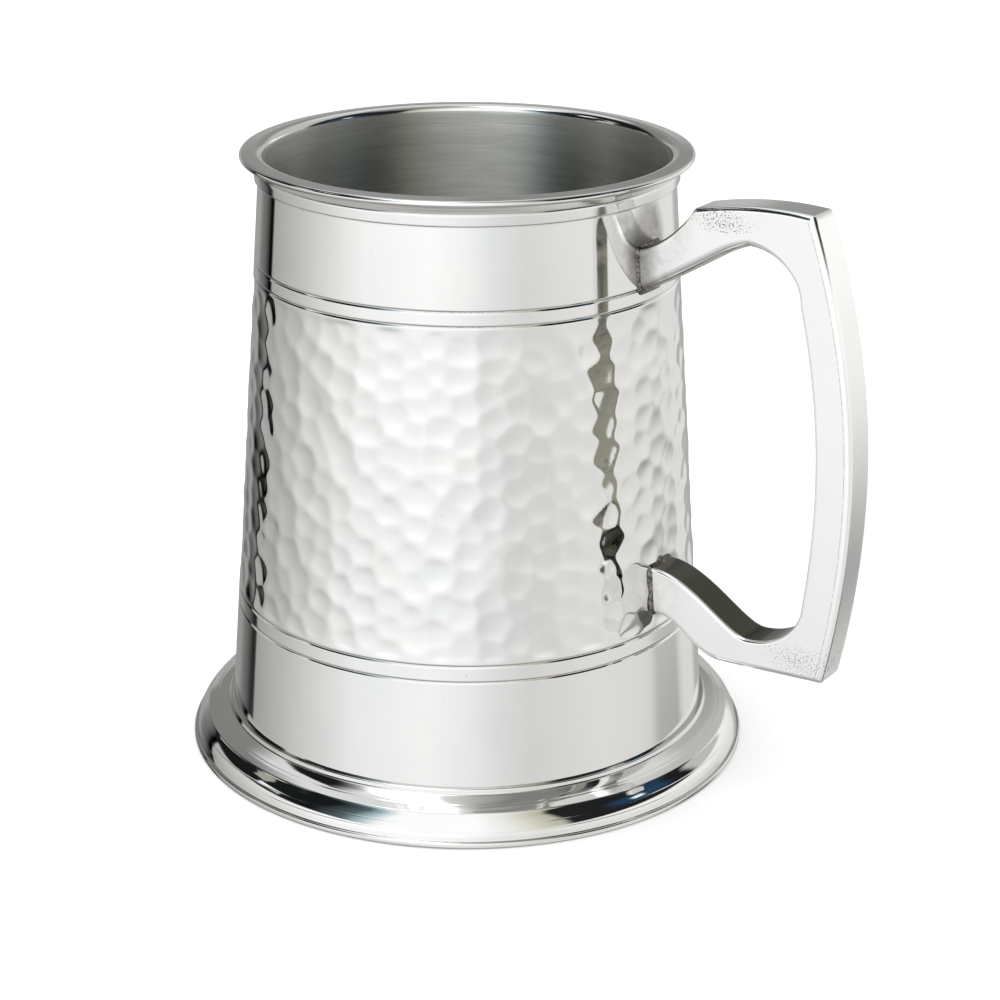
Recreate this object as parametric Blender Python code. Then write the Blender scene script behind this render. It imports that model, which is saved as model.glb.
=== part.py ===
# A one-pint pewter tankard, built as the separate pieces that a pewterer solders together:
# a tapered drum with two pairs of turned lines, a moulded mouth ring, a beaded foot ring,
# a let-in floor, a cast square-cornered handle, and the solder at each joint.
# Metres, +Z up. The tankard stands on Z = 0 and its handle points along +X.

import bpy
import bmesh
from math import cos, sin, pi, sqrt
from mathutils import Vector

mm = 0.001

# Overall sizes
totalHeight = 119.5 * mm
drumTopRadius = 39.7 * mm          # outside of the wall, just under the mouth ring
drumBaseRadius = 47.8 * mm         # outside of the wall, at its lower edge
mouthFlare = 3.4 * mm              # how far the mouth ring's bead stands out from the wall
footFlare = 8.0 * mm               # and the foot's lip
gripStandOff = 37.1 * mm           # from the wall's lower edge out to the outside of the grip

# Drum
wallThickness = 1.3 * mm
drumBottom = 4.2 * mm              # height of the wall's lower edge
lineWidth = 0.7 * mm               # each turned line
lineDepth = 0.25 * mm
linePairSpacing = 2.9 * mm
upperLinesDrop = 22.1 * mm         # from the rim down to the middle of the upper pair
lowerLinesHeight = 30.8 * mm       # middle of the lower pair

# Mouth ring
mouthRingHeight = 5.4 * mm
mouthRebateHeight = 1.6 * mm       # how far the ring laps down over the turned-down wall
mouthRebateDepth = 0.65 * mm       # metal turned off the wall under the lap
mouthBandProud = 0.65 * mm         # the ring's lower band stands out from the wall
mouthBandHeight = 1.9 * mm
mouthBeadRadius = 0.75 * mm
mouthInnerRound = 1.3 * mm         # the rounding from the rim's top into the bore

# Foot ring
footHeight = 8.5 * mm
footCollarHeight = 1.0 * mm        # the small step at the top, where it meets the wall
footCollarThickness = 0.8 * mm
footBeadRadius = 4.0 * mm
footLipHeight = 1.3 * mm
footLipProud = 0.6 * mm
footRimWidth = 2.4 * mm            # the flat that the tankard stands on
footCoveDepth = 0.9 * mm           # how far the slope under the collar is hollowed
footHollowRadius = 2.2 * mm        # the hollow cast under the bead

# Floor
floorThickness = 1.4 * mm
floorRecess = 6.0 * mm             # height of the floor's underside

# Handle
handleWidth = 8.0 * mm
handleArris = 0.9 * mm
gripThickness = 7.1 * mm
gripTopLean = 10.0 * mm            # how far the grip leans in at its top corner
gripFootLean = 3.9 * mm            # and at its bottom corner
gripBellyHeight = 66.0 * mm        # where the grip reaches furthest out
handleTopDrop = 2.2 * mm           # from the rim down to the top outer corner
handleTopCrown = 0.5 * mm
handleFootHeight = 30.4 * mm       # bottom outer corner
topBarDepth = 5.4 * mm
footBarDepth = 5.1 * mm
footBarSag = 0.8 * mm              # the lower bar's underside dips below its outer corner
archAcross, archDown = 10.5 * mm, 9.0 * mm
troughAcross, troughUp = 11.1 * mm, 9.2 * mm
shoulderOut = 12.0 * mm            # from the wall to the corner where the top turns flat
shoulderDrop = 1.8 * mm
upperRootDrop = 13.0 * mm          # from the rim down to the upper arm's top edge
upperRootHeight = 7.1 * mm
lowerRootHeight = 9.2 * mm
lowerRootBottom = 35.9 * mm
lowerHeelOut = 15.2 * mm           # from the wall to where the lower arm turns level

# How each arm's edges sweep: the run and rise of the curve's pull at its wall end,
# then at its far end.
upperArmTopSweep = ((3.6 * mm, 0.8 * mm), (-3.1 * mm, -4.9 * mm))
upperArmUnderSweep = ((8.7 * mm, 4.1 * mm), (-4.6 * mm, -1.2 * mm))
lowerArmTopSweep = ((8.5 * mm, 0.0), (-4.5 * mm, 0.3 * mm))
lowerArmUnderSweep = ((6.2 * mm, 0.5 * mm), (-7.5 * mm, -0.2 * mm))

# Solder
filletSize = 1.1 * mm

# Fits and fineness
jointGap = 0.3 * mm                # left between any two pieces
segments = 72                      # round each turned piece

mouthRadius = drumTopRadius + mouthFlare
footRadius = drumBaseRadius + footFlare
handleReach = drumBaseRadius + gripStandOff
axisOffset = -(handleReach - footRadius) / 2    # centres the whole tankard on X = 0


def clearScene():
    for item in list(bpy.data.objects):
        bpy.data.objects.remove(item)


def pewter(name, colour, roughness):
    material = bpy.data.materials.new(name)
    material.use_nodes = True
    shader = material.node_tree.nodes["Principled BSDF"]
    shader.inputs["Base Color"].default_value = (*colour, 1)
    shader.inputs["Roughness"].default_value = roughness
    shader.inputs["Metallic"].default_value = 1
    return material


def addPiece(name, mesh, colour, roughness, sharpAngle=pi / 6):
    bm = bmesh.new()
    bm.from_mesh(mesh)
    bmesh.ops.recalc_face_normals(bm, faces=bm.faces)
    bm.to_mesh(mesh)
    bm.free()
    mesh.shade_smooth()
    mesh.set_sharp_from_angle(angle=sharpAngle)
    mesh.materials.append(pewter(name, colour, roughness))
    piece = bpy.data.objects.new(name, mesh)
    bpy.context.collection.objects.link(piece)
    piece.parent = drumAxis
    return piece


# Spins a closed outline of (radius, height) points into a ring.
def turned(name, outline):
    bm = bmesh.new()
    corners = [bm.verts.new((radius, 0, height)) for radius, height in outline]
    edges = [bm.edges.new((corners[i - 1], corners[i])) for i in range(len(corners))]
    bmesh.ops.spin(bm, geom=corners + edges, cent=(0, 0, 0), axis=(0, 0, 1),
                   angle=2 * pi, steps=segments, use_merge=True)
    mesh = bpy.data.meshes.new(name)
    bm.to_mesh(mesh)
    bm.free()
    return mesh


def frustum(name, lowRadius, highRadius, low, high):
    bm = bmesh.new()
    bmesh.ops.create_cone(bm, cap_ends=True, segments=segments, radius1=lowRadius,
                          radius2=highRadius, depth=high - low)
    bmesh.ops.translate(bm, vec=(0, 0, (low + high) / 2), verts=bm.verts)
    mesh = bpy.data.meshes.new(name)
    bm.to_mesh(mesh)
    bm.free()
    return mesh


# Points along an ellipse's arc, with angles in quarter turns from the outward direction.
def arc(centre, radii, start, end, steps):
    points = []
    for i in range(steps + 1):
        angle = (start + (end - start) * i / steps) * pi / 2
        points.append((centre[0] + radii[0] * cos(angle), centre[1] + radii[1] * sin(angle)))
    return points


# Points along a smooth bend, each end leaving along its own pull.
def sweep(start, end, pulls, steps):
    a, d = Vector(start), Vector(end)
    b, c = a + Vector(pulls[0]), d + Vector(pulls[1])
    points = []
    for i in range(steps + 1):
        t = i / steps
        s = 1 - t
        points.append(tuple(a * s ** 3 + b * 3 * s * s * t + c * 3 * s * t * t + d * t ** 3))
    return points


# The wall's taper, which every piece that meets the drum follows.

mouthRingBottom = totalHeight - mouthRingHeight
drumShoulder = mouthRingBottom - jointGap


def wallRadius(height):
    share = (height - drumBottom) / (drumShoulder - drumBottom)
    return drumBaseRadius + (drumTopRadius - drumBaseRadius) * share


def boreRadius(height):
    return wallRadius(height) - wallThickness


def gripRadius(height):
    if height > gripBellyHeight:
        rise = totalHeight - handleTopDrop - gripBellyHeight
        lean = gripTopLean
    else:
        rise = gripBellyHeight - handleFootHeight
        lean = gripFootLean
    return handleReach - lean * ((height - gripBellyHeight) / rise) ** 2


# One shallow V cut, from its upper edge to its lower edge.
def turnedLine(height):
    top, bottom = height + lineWidth / 2, height - lineWidth / 2
    return [(wallRadius(top), top), (wallRadius(height) - lineDepth, height),
            (wallRadius(bottom), bottom)]


def drumOutline():
    lapTop = mouthRingBottom + mouthRebateHeight - jointGap
    lapRadius = drumTopRadius - mouthRebateDepth
    outline = [(boreRadius(drumShoulder), lapTop), (lapRadius, lapTop),
               (lapRadius, drumShoulder), (drumTopRadius, drumShoulder)]
    for middle in (totalHeight - upperLinesDrop, lowerLinesHeight):
        outline += turnedLine(middle + linePairSpacing / 2)
        outline += turnedLine(middle - linePairSpacing / 2)
    outline += [(drumBaseRadius, drumBottom), (boreRadius(drumBottom), drumBottom),
                (boreRadius(drumShoulder), drumShoulder)]
    return outline


def mouthOutline():
    lap = drumTopRadius - mouthRebateDepth + jointGap
    band = drumTopRadius + mouthBandProud
    bandTop = mouthRingBottom + mouthBandHeight
    beadCentre = (mouthRadius - mouthBeadRadius, totalHeight - mouthBeadRadius)
    bore = boreRadius(drumShoulder)
    outline = [(lap, mouthRingBottom), (band, mouthRingBottom), (band, bandTop)]
    outline += arc(beadCentre, (mouthBeadRadius, mouthBeadRadius), -0.6, 1, 4)
    outline += arc((bore + mouthInnerRound, totalHeight - mouthInnerRound),
                   (mouthInnerRound, mouthInnerRound), 1, 2, 3)
    lapTop = mouthRingBottom + mouthRebateHeight
    outline += [(bore, lapTop), (lap, lapTop)]
    return outline


def footOutline():
    collarBottom = footHeight - footCollarHeight
    seat = wallRadius(footHeight) + jointGap
    seatBottom = wallRadius(drumBottom) + jointGap
    collar = seat + footCollarThickness
    beadCentre = (footRadius - footLipProud - footBeadRadius, footLipHeight)
    crease = footLipHeight + footBeadRadius
    lipRound = footLipProud / 2
    outline = [(seat, footHeight), (collar, footHeight), (collar, collarBottom)]
    outline += sweep((collar, collarBottom), (beadCentre[0], crease),
                     ((0, -footCoveDepth), (-footCoveDepth, 0)), 3)[1:-1]
    outline += arc(beadCentre, (footBeadRadius, footBeadRadius), 1, 0, 5)
    outline += [(footRadius, footLipHeight - lipRound), (footRadius, lipRound),
                (footRadius - lipRound, 0)]
    rimInside = footRadius - lipRound - footRimWidth
    outline += [(rimInside, 0)]
    outline += arc((beadCentre[0] - footHollowRadius / 2, 0),
                   (footHollowRadius, footHollowRadius), 0.2, 0.9, 2)
    outline += [(seatBottom, drumBottom - jointGap)]
    return outline


def handleOutline():
    top = totalHeight - handleTopDrop
    upperTop = totalHeight - upperRootDrop
    upperBottom = upperTop - upperRootHeight
    lowerTop = lowerRootBottom + lowerRootHeight
    inWall = boreRadius(upperTop)

    def gripInside(height):
        return gripRadius(height) - gripThickness

    archEnd = top + handleTopCrown - topBarDepth - archDown
    troughEnd = handleFootHeight + footBarDepth + troughUp
    arch = (gripInside(archEnd) - archAcross, archEnd)
    trough = (gripInside(troughEnd) - troughAcross, troughEnd)
    outline = [(inWall, upperBottom)]
    outline += sweep((wallRadius(upperBottom), upperBottom), (arch[0], arch[1] + archDown),
                     upperArmUnderSweep, 8)
    outline += arc(arch, (archAcross, archDown), 1, 0, 6)[1:]
    for i in range(1, 8):
        height = archEnd + (troughEnd - archEnd) * i / 8
        outline.append((gripInside(height), height))
    outline += arc(trough, (troughAcross, troughUp), 0, -1, 6)
    lowerArmTop = sweep((wallRadius(lowerTop), lowerTop), (trough[0], troughEnd - troughUp),
                        lowerArmTopSweep, 8)
    outline += lowerArmTop[-2::-1]
    outline += [(boreRadius(lowerTop), lowerTop), (boreRadius(lowerTop), lowerRootBottom)]
    heel = (wallRadius(lowerRootBottom) + lowerHeelOut, handleFootHeight - footBarSag)
    outline += sweep((wallRadius(lowerRootBottom), lowerRootBottom), heel,
                     lowerArmUnderSweep, 8)
    for i in range(13):
        height = handleFootHeight + (top - handleFootHeight) * i / 12
        outline.append((gripRadius(height), height))
    shoulder = (wallRadius(top) + shoulderOut, top - shoulderDrop)
    corner = (gripRadius(top), top)
    middle = ((shoulder[0] + corner[0]) / 2, (shoulder[1] + corner[1]) / 2 + handleTopCrown)
    outline += [middle, shoulder]
    upperArmTop = sweep((wallRadius(upperTop), upperTop), shoulder, upperArmTopSweep, 7)
    outline += upperArmTop[-2::-1]
    outline += [(inWall, upperTop)]
    return outline


def slopeOf(sweepPulls):
    run, rise = sweepPulls[0]
    return rise / run


def addHandle():
    bm = bmesh.new()
    rim = [bm.verts.new((radius, -handleWidth / 2, height)) for radius, height in handleOutline()]
    side = bm.faces.new(rim)
    grown = bmesh.ops.extrude_face_region(bm, geom=[side])
    far = [item for item in grown["geom"] if isinstance(item, bmesh.types.BMVert)]
    bmesh.ops.translate(bm, vec=(0, handleWidth, 0), verts=far)
    mesh = bpy.data.meshes.new("handle")
    bm.to_mesh(mesh)
    bm.free()
    handle = addPiece("handle", mesh, (0.80, 0.79, 0.76), 0.12)

    rounding = handle.modifiers.new("arrises", "BEVEL")
    rounding.width = handleArris
    rounding.segments = 2
    rounding.limit_method = "ANGLE"
    rounding.angle_limit = pi / 5

    # The roots are scribed to the drum, one gap off it.
    low, high = drumBottom, totalHeight
    cutterMesh = frustum("drum_clearance", wallRadius(low) + jointGap,
                         wallRadius(high) + jointGap, low, high)
    cutter = bpy.data.objects.new("drum_clearance", cutterMesh)
    bpy.context.collection.objects.link(cutter)
    cutter.parent = drumAxis
    cutter.hide_render = True
    cutter.display_type = "WIRE"
    scribe = handle.modifiers.new("scribed roots", "BOOLEAN")
    scribe.operation = "DIFFERENCE"
    scribe.object = cutter


# One closed ring of points round an arm's root: grown outward from the arm by clear,
# and standing off the wall by outward, where the arm has already risen along its slopes.
def rootRing(bottom, top, outward, clear, slopes):
    reach = handleArris + clear
    halfAcross = handleWidth / 2 - handleArris
    halfUp = (top - bottom) / 2 - handleArris
    middle = (top + bottom) / 2
    cornerSteps = 3
    points = []
    for corner, (across, up) in enumerate(((1, 1), (-1, 1), (-1, -1), (1, -1))):
        for i in range(cornerSteps + 1):
            angle = (corner + i / cornerSteps) * pi / 2
            y = across * halfAcross + reach * cos(angle)
            z = middle + up * halfUp + reach * sin(angle)
            share = min(max((z - bottom) / (top - bottom), 0), 1)
            rise = (slopes[0] * (1 - share) + slopes[1] * share) * outward
            x = sqrt(wallRadius(z) ** 2 - y * y) + jointGap + outward
            points.append((x, y, z + rise))
    return points


# A fillet of solder right round the root of one of the handle's arms.
def addRootSolder(name, bottom, top, slopes):
    bm = bmesh.new()
    loops = []
    for outward, clear in ((0, jointGap), (0, jointGap + filletSize), (filletSize, jointGap)):
        ring = [bm.verts.new(point) for point in rootRing(bottom, top, outward, clear, slopes)]
        loops.append([bm.edges.new((ring[i - 1], ring[i])) for i in range(len(ring))])
    for i in range(3):
        bmesh.ops.bridge_loops(bm, edges=loops[i - 1] + loops[i])
    mesh = bpy.data.meshes.new(name)
    bm.to_mesh(mesh)
    bm.free()
    addPiece(name, mesh, (0.62, 0.61, 0.59), 0.3)


def floorSolderOutline():
    top = floorRecess - jointGap
    bottom = top - filletSize
    return [(boreRadius(top) - jointGap - filletSize, top), (boreRadius(top) - jointGap, top),
            (boreRadius(bottom) - jointGap, bottom)]


def footSolderOutline():
    top = drumBottom - jointGap
    inside, outside = boreRadius(drumBottom), wallRadius(drumBottom)
    return [(inside, top), (outside, top), (outside, top - filletSize / 2),
            ((inside + outside) / 2, top - filletSize), (inside, top - filletSize / 2)]


clearScene()
drumAxis = bpy.data.objects.new("drum_axis", None)
bpy.context.collection.objects.link(drumAxis)
drumAxis.location.x = axisOffset

bright = (0.82, 0.81, 0.78)
addPiece("drum", turned("drum", drumOutline()), bright, 0.12)
addPiece("mouth_ring", turned("mouth_ring", mouthOutline()), bright, 0.15)
addPiece("foot_ring", turned("foot_ring", footOutline()), bright, 0.1)

floorTop = floorRecess + floorThickness
floorMesh = frustum("base_disc", boreRadius(floorRecess) - jointGap,
                    boreRadius(floorTop) - jointGap, floorRecess, floorTop)
addPiece("base_disc", floorMesh, (0.6, 0.6, 0.58), 0.35)

addHandle()
upperRootTop = totalHeight - upperRootDrop
addRootSolder("upper_handle_solder", upperRootTop - upperRootHeight, upperRootTop,
              (slopeOf(upperArmUnderSweep), slopeOf(upperArmTopSweep)))
addRootSolder("lower_handle_solder", lowerRootBottom, lowerRootBottom + lowerRootHeight,
              (slopeOf(lowerArmUnderSweep), slopeOf(lowerArmTopSweep)))
addPiece("base_seam_solder", turned("base_seam_solder", floorSolderOutline()),
         (0.5, 0.5, 0.48), 0.4)
addPiece("foot_seam_solder", turned("foot_seam_solder", footSolderOutline()),
         (0.5, 0.5, 0.48), 0.4)
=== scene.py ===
import random
from math import atan2, cos, hypot, pi, radians, sin, sqrt

import bmesh
import bpy
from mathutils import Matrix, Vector


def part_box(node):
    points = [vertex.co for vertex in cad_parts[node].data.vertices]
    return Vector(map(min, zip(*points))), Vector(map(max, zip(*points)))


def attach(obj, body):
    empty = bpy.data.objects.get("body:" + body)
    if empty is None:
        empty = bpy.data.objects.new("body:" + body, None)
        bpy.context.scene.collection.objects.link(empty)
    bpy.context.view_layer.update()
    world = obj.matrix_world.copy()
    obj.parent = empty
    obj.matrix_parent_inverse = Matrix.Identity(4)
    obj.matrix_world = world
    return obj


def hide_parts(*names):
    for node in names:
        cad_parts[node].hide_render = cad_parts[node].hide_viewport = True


# A one-pint hammered pewter tankard, dressed piece by piece round its fixed frame.
# Lengths are in millimetres from the drum's axis until finishPiece scales them to metres.

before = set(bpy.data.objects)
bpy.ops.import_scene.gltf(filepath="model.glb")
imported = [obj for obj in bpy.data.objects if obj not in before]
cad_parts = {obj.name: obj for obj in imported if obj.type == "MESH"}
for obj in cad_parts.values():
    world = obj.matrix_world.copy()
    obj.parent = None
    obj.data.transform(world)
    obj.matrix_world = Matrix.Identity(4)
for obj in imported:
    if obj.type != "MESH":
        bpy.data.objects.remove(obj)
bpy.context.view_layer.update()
mm = 0.001

drumLow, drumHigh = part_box("drum")
axisX = (drumLow.x + drumHigh.x) / 2
overall = {
    "rimHeight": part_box("mouth_ring")[1].z / mm,
    "mouthRadius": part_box("mouth_ring")[1].y / mm,
    "footRadius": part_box("foot_ring")[1].y / mm,
    "baseRadius": drumHigh.y / mm,
    "handleReach": (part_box("handle")[1].x - axisX) / mm,
    "handleHalfWidth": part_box("handle")[1].y / mm,
}
print("frame loaded")

# How every turned piece is spun.
turning = {
    "segments": 4, "wideRounding": 1.0, "wideTimes": 4,  # wide roundings get more segments
    "hold": 0.12, "longRun": 5, "wedges": 8, "weld": 0.0005,
}


# A closed outline of (radius, height, rounding) corners, rounded and spun round the axis.
def spinOutline(corners, steps, segments=turning["segments"], rows=None):
    hold, wedges = turning["hold"], turning["wedges"]
    bm = bmesh.new()
    made = [bm.verts.new((radius, 0, height)) for radius, height, rounding in corners]
    sides = [bm.edges.new((made[i - 1], made[i])) for i in range(len(made))]
    if rows:
        bandSide = sides[rows["side"]]
    for i, (radius, height, rounding) in enumerate(corners):
        if rounding > 0:
            wide = rounding >= turning["wideRounding"]
            cuts = segments * turning["wideTimes"] if wide else segments
            bmesh.ops.bevel(bm, geom=[made[i]], offset=rounding, segments=cuts, profile=0.5,
                            affect="VERTICES", material=-1)
    # short lengths at the ends of the long runs keep the flats flat where they meet a rounding
    for side in list(bm.edges):
        length = side.calc_length()
        if length > hold * turning["longRun"] and not (rows and side == bandSide):
            start, end = side.verts
            nearVert = bmesh.utils.edge_split(side, start, hold / length)[1]
            farSide = next(e for e in end.link_edges if nearVert in e.verts)
            bmesh.utils.edge_split(farSide, end, hold / farSide.calc_length())
    if rows:
        bmesh.ops.subdivide_edges(bm, edges=[bandSide], cuts=rows["cuts"])
    # one wedge is spun out, and its copies make up the round
    share = 2 * pi / wedges
    bmesh.ops.spin(bm, geom=list(bm.verts) + list(bm.edges), cent=(0, 0, 0), axis=(0, 0, 1),
                   angle=share, steps=steps // wedges)
    wedge = list(bm.verts) + list(bm.edges) + list(bm.faces)
    bmesh.ops.spin(bm, geom=wedge, cent=(0, 0, 0), axis=(0, 0, 1),
                   angle=share * (wedges - 1), steps=wedges - 1, use_duplicate=True)
    bmesh.ops.remove_doubles(bm, verts=bm.verts, dist=turning["weld"])
    bmesh.ops.recalc_face_normals(bm, faces=bm.faces)
    return bm


# Places a mesh on the drum's axis, in metres, and hides the part of the frame it stands in for.
def finishPiece(bm, name, node, materials):
    bmesh.ops.scale(bm, vec=(mm, mm, mm), verts=bm.verts)
    bmesh.ops.translate(bm, vec=(axisX, 0, 0), verts=bm.verts)
    mesh = bpy.data.meshes.new(name)
    bm.to_mesh(mesh)
    bm.free()
    mesh.shade_smooth()
    for material in materials:
        mesh.materials.append(material)
    piece = bpy.data.objects.new(name, mesh)
    bpy.context.scene.collection.objects.link(piece)
    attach(piece, "root")
    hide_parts(node)
    print("made", name, len(mesh.polygons), "faces")


# Points along an ellipse's arc, with angles in quarter turns from the outward direction.
def arc(centre, radii, start, end, steps):
    points = []
    for i in range(steps + 1):
        angle = (start + (end - start) * i / steps) * pi / 2
        points.append((centre[0] + radii[0] * cos(angle), centre[1] + radii[1] * sin(angle)))
    return points


# Points along a smooth bend, each end leaving along its own pull.
def sweep(start, end, pulls, steps):
    a, d = Vector(start), Vector(end)
    b, c = a + Vector(pulls[0]), d + Vector(pulls[1])
    points = []
    for i in range(steps + 1):
        t = i / steps
        s = 1 - t
        points.append(tuple(a * s ** 3 + b * 3 * s * s * t + c * 3 * s * t * t + d * t ** 3))
    return points


# One socket of a node tree, which adds Math nodes when it is used in a sum.
class Signal:
    def __init__(self, tree, socket=None):
        self.tree, self.socket = tree, socket

    def node(self, kind, settings=None, sockets=None, output=0):
        made = self.tree.nodes.new("ShaderNode" + kind)
        for key, value in (settings or {}).items():
            if key == "stops":
                ramp = made.color_ramp
                while len(ramp.elements) < len(value):
                    ramp.elements.new(1)
                for element, (place, colour) in zip(ramp.elements, value):
                    element.position = place
                    element.color = (*colour, 1)
            else:
                setattr(made, key, value)
        for key, value in (sockets or {}).items():
            if isinstance(value, Signal):
                self.tree.links.new(value.socket, made.inputs[key])
            else:
                made.inputs[key].default_value = value
        return Signal(self.tree, made.outputs[output] if made.outputs else None)

    def sum(self, operation, *values):
        return self.node("Math", {"operation": operation}, dict(enumerate(values)))

    def __add__(self, other):
        return self.sum("ADD", self, other)

    def __radd__(self, other):
        return self.sum("ADD", other, self)

    def __sub__(self, other):
        return self.sum("SUBTRACT", self, other)

    def __rsub__(self, other):
        return self.sum("SUBTRACT", other, self)

    def __mul__(self, other):
        return self.sum("MULTIPLY", self, other)

    def __rmul__(self, other):
        return self.sum("MULTIPLY", other, self)

    def __truediv__(self, other):
        return self.sum("DIVIDE", self, other)

    def __rtruediv__(self, other):
        return self.sum("DIVIDE", other, self)

    def __pow__(self, other):
        return self.sum("POWER", self, other)

    def __abs__(self):
        return self.sum("ABSOLUTE", self)

    def atLeast(self, other):
        return self.sum("MAXIMUM", self, other)

    def clamped(self):
        return self.node("Clamp", None, {"Value": self})

    # rises smoothly from 0 to 1 between two values
    def between(self, low, high):
        return self.node("MapRange", {"interpolation_type": "SMOOTHSTEP"},
                         {"Value": self, "From Min": low, "From Max": high})

    # one colour where this mask is 0 and another where it is 1, by the Mix node's colour sockets
    def blend(self, under, over):
        return self.node("Mix", {"data_type": "RGBA"}, {0: self, 6: under, 7: over}, 2)

    # a vector's three parts
    def parts(self):
        return [self.node("SeparateXYZ", None, {0: self}, axis) for axis in ("X", "Y", "Z")]


def newMaterial(name):
    material = bpy.data.materials.new(name)
    material.use_nodes = True
    material.node_tree.nodes.clear()
    return material, Signal(material.node_tree)


# Where a point is on the turned work: along x, y and z in millimetres, and out from the axis.
def turnedPlace(start):
    place = start.node("TexCoord", None, None, "Object")
    centred = start.node("Mapping", None, {"Vector": place, "Location": (-axisX / mm, 0, 0),
                                           "Scale": (1 / mm, 1 / mm, 1 / mm)})
    x, y, z = centred.parts()
    radius = (x * x + y * y) ** 0.5
    return centred, x, y, z, radius


def combine(start, x, y, z):
    return start.node("CombineXYZ", None, {0: x, 1: y, 2: z})


def noiseOf(start, vector, scale, detail, roughness):
    return start.node("TexNoise", None, {"Vector": vector, "Scale": scale, "Detail": detail,
                                         "Roughness": roughness})


def finishMaterial(material, start, colour, roughness, height, distance, others=None):
    bump = start.node("Bump", None, {"Height": height, "Distance": distance * mm, "Strength": 1.0})
    shader = start.node("BsdfPrincipled", None, {"Base Color": colour, "Roughness": roughness,
                                                 "Metallic": 1.0, "Normal": bump} | (others or {}))
    start.node("OutputMaterial", None, {"Surface": shader})
    return material


# A mask that peaks along each ring at one of the given heights.
def ringMask(z, rings):
    mask = None
    for height, width in rings:
        line = (1 - abs(z - height) / width).atLeast(0)
        mask = line if mask is None else mask.atLeast(line)
    return mask


# Bright pewter: faint clouding and buffing scratches, specks, and old polish in its creases.
def polishedPewter(name, look):
    material, start = newMaterial(name)
    place, x, y, z, radius = turnedPlace(start)
    angle = start.sum("ARCTAN2", y, x)
    cloud = noiseOf(start, place, look["cloudScale"], 3, 0.55)
    fine = noiseOf(start, place, look["fineScale"], 4, 0.6)
    streak = combine(start, angle * look["buffAround"], z * look["buffUp"], radius * look["buffUp"])
    buffing = noiseOf(start, streak, look["buffScale"], 5, 0.7)
    speckCells = start.node("TexVoronoi", None, {"Vector": place, "Scale": look["speckScale"],
                                                 "Randomness": 1.0})
    speckChoice = noiseOf(start, place, look["speckGroups"], 1, 0.5)
    specks = (1 - speckCells.between(*look["speckEdge"])) * speckChoice.between(*look["speckShare"])
    colour = cloud.between(0.3, 0.7).blend((*look["cool"], 1), (*look["warm"], 1))
    patches = noiseOf(start, place, look["patchScale"], 2, 0.6)
    worn = 0.25 + fine.between(0.4, 0.7) * patches.between(0.45, 0.7) * 0.5
    crevice = ringMask(z, look["rings"]) * worn
    # darker round where each arm meets the wall
    for root in look.get("roots", ()):
        aside = angle * root["radius"] / root["across"]
        away = (aside ** 2 + ((z - root["height"]) / root["up"]) ** 2) ** 0.5
        rootDarkening = (1 - away.between(0.5, 1.0)) * (0.6 + cloud.between(0.35, 0.65) * 0.4)
        crevice = crevice.atLeast(rootDarkening * (0.65 + fine * 0.7))
    oldPolish = (crevice * 0.8).atLeast(specks * 0.5)
    colour = oldPolish.clamped().blend(colour, (*look["oldPolish"], 1))
    roughness = look["roughness"] + (cloud - 0.5) * 0.03 + (buffing - 0.5) * 0.05
    roughness = (roughness + oldPolish * 0.3).atLeast(look["smoothest"])
    cuts = noiseOf(start, combine(start, radius, z, angle * 0.2), look["cutScale"], 3, 0.6)
    height = cuts * look["turning"] + buffing * look["scratch"] - specks * look["speckDepth"]
    if "grooves" in look:
        height = height - ringMask(z, look["grooves"]) * look["grooveDepth"]
    return finishMaterial(material, start, colour, roughness, height, look["relief"])


bright = {
    "cool": (0.80, 0.80, 0.79), "warm": (0.83, 0.82, 0.795), "oldPolish": (0.12, 0.10, 0.085),
    "roughness": 0.055, "smoothest": 0.03, "turning": 0.1, "scratch": 0.05, "relief": 0.02,
    "cloudScale": 0.09, "fineScale": 1.7, "patchScale": 0.05, "cutScale": 3.5,
    "buffAround": 7, "buffUp": 2.6, "buffScale": 2.2,
    "speckScale": 0.42, "speckEdge": (0.03, 0.07), "speckGroups": 0.55, "speckShare": (0.6, 0.66),
    "speckDepth": 0.4, "grooveDepth": 0.8,
}
# each ring is a height and half its width, and each root is where an arm meets the wall
drumPewter = polishedPewter("drumPewter", bright | {
    "rings": ((113.95, 0.35), (98.75, 0.25), (96.05, 0.25), (32.35, 0.25), (29.25, 0.25),
              (8.5, 0.2)),
    "roots": ({"radius": 40.7, "height": 107.0, "across": 7.2, "up": 9.8},
              {"radius": 45.3, "height": 40.0, "across": 5.8, "up": 6.8})})
mouthPewter = polishedPewter("mouthPewter", bright | {
    "rings": ((114.05, 0.3), (116.35, 0.35)), "roughness": 0.1, "turning": 0.3})
footPewter = polishedPewter("footPewter", bright | {
    "rings": ((8.5, 0.15), (7.5, 0.2), (5.75, 0.12), (1.2, 0.1)), "roughness": 0.045,
    "grooves": ((6.6, 0.1), (4.0, 0.1), (2.7, 0.1))})


# The unpolished inside, turned to a satin: fine rings that spread a reflection up and down.
def turnedSatin(name, look):
    material, start = newMaterial(name)
    place, x, y, z, radius = turnedPlace(start)
    angle = start.sum("ARCTAN2", y, x)
    cuts = noiseOf(start, combine(start, radius, z, angle * 1.5), look["cutsPerMm"], 3, 0.6)
    rings = noiseOf(start, combine(start, radius, z, angle * 2.5), look["ringsPerMm"], 5, 0.65)
    cloud = noiseOf(start, place, look["stainScale"], 3, 0.5)
    colour = rings.between(0.3, 0.7).blend((*look["dark"], 1), (*look["light"], 1))
    stain = cloud.between(0.45, 0.75) * 0.35
    colour = stain.blend(colour, (*look["stain"], 1))
    roughness = look["roughness"] + (rings - 0.5) * 0.16
    return finishMaterial(material, start, colour, roughness, cuts, look["depth"],
                          {"Anisotropic": look["grain"], "Anisotropic Rotation": look["grainTurn"]})


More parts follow.
